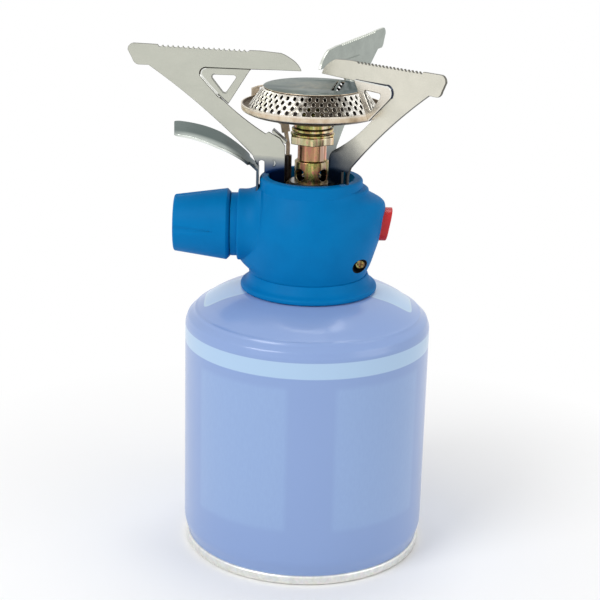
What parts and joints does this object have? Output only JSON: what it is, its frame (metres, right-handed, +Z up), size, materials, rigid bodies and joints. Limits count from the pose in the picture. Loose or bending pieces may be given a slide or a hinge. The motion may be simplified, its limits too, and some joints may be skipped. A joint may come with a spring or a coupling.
{
  "type": "camping gas stove",
  "caption": "Single-burner camping gas stove clipped on a gas cartridge, with a perforated burner, swivelling toothed pan supports, a side knob under a heat shield and a push-button igniter.",
  "frame": {"origin": "centre of the cartridge's base, on the surface that it stands on", "axes": "+Z up along the cartridge and the burner; the knob points along -X and the ignition button along +X"},
  "size_m": [0.1356, 0.136, 0.2272],
  "materials": {
    "cartridge_paint": "gloss",
    "tinned_steel": "satin",
    "rubber_black": "matt",
    "grey_plastic": "matt",
    "valve_brass": "machined",
    "blue_plastic": "satin",
    "red_plastic": "satin",
    "zinc_yellow": "yellow zinc plate",
    "support_steel": "satin",
    "shield_steel": "bright",
    "burner_steel": "heat tinted",
    "cap_steel": "satin",
    "spring_steel": "bright",
    "ceramic_dark": "glazed",
    "lead_sleeve": "matt"
  },
  "bodies": {
    "cartridge": {"can_body": "cartridge_paint", "can_base": "tinned_steel", "valve_cup": "tinned_steel", "valve_gasket": "rubber_black", "valve_housing": "grey_plastic", "valve_spring": "spring_steel"},
    "valve_stem": {"valve_stem": "valve_brass"},
    "base_ring": {"base_flange": "blue_plastic", "locking_claws": "spring_steel"},
    "stove": {"body_housing": "blue_plastic", "body_floor": "blue_plastic", "floor_screws": "zinc_yellow", "casing_screw": "zinc_yellow", "valve_block": "valve_brass", "inlet_probe": "valve_brass", "inlet_seal": "rubber_black", "gland_nut": "valve_brass", "spindle_seal": "rubber_black", "jet": "valve_brass", "insulator": "ceramic_dark", "electrode": "burner_steel", "ignition_lead": "lead_sleeve", "piezo_unit": "grey_plastic", "mixing_tube": "zinc_yellow", "lock_nut": "zinc_yellow", "clamp_washers": "zinc_yellow", "spring_washer": "zinc_yellow", "burner_boss": "zinc_yellow", "burner_cup": "burner_steel", "burner_nut": "zinc_yellow", "burner_crown": "burner_steel", "burner_cap": "cap_steel", "heat_shield": "shield_steel", "left_arm": "support_steel", "left_hub": "zinc_yellow", "hub_clip": "spring_steel"},
    "knob": {"control_knob": "blue_plastic", "spindle": "valve_brass"},
    "button": {"piezo_button": "red_plastic"},
    "right_arm": {"right_arm": "support_steel", "right_hub": "zinc_yellow"},
    "rear_arm": {"rear_arm": "support_steel", "rear_hub": "zinc_yellow"}
  },
  "joints": [
    {"name": "stem_press", "type": "slide", "parent": "cartridge", "child": "valve_stem", "axis": [0, 0, -1], "range_m": [0, 0.0015], "stiffness_N_per_m": 800, "deforming": ["valve_spring"]},
    {"name": "stove_lift", "type": "slide", "parent": "cartridge", "child": "base_ring", "axis": [0, 0, 1], "range_m": [0, 0.03]},
    {"name": "lock_twist", "type": "hinge", "parent": "base_ring", "child": "stove", "pos_m": [0, 0, 0.128], "axis": [0, 0, 1], "range_deg": [0, 30]},
    {"name": "knob_turn", "type": "hinge", "parent": "stove", "child": "knob", "pos_m": [-0.04, 0, 0.14886], "axis": [-1, 0, 0], "range_deg": [0, 540]},
    {"name": "button_press", "type": "slide", "parent": "stove", "child": "button", "axis": [-1, 0, 0], "range_m": [0, 0.003], "stiffness_N_per_m": 3000},
    {"name": "right_arm_swivel", "type": "hinge", "parent": "stove", "child": "right_arm", "pos_m": [0, 0, 0.162], "axis": [0, 0, 1], "range_deg": [-80, 0]},
    {"name": "rear_arm_swivel", "type": "hinge", "parent": "stove", "child": "rear_arm", "pos_m": [0, 0, 0.166], "axis": [0, 0, 1], "range_deg": [-84, 0]}
  ]
}
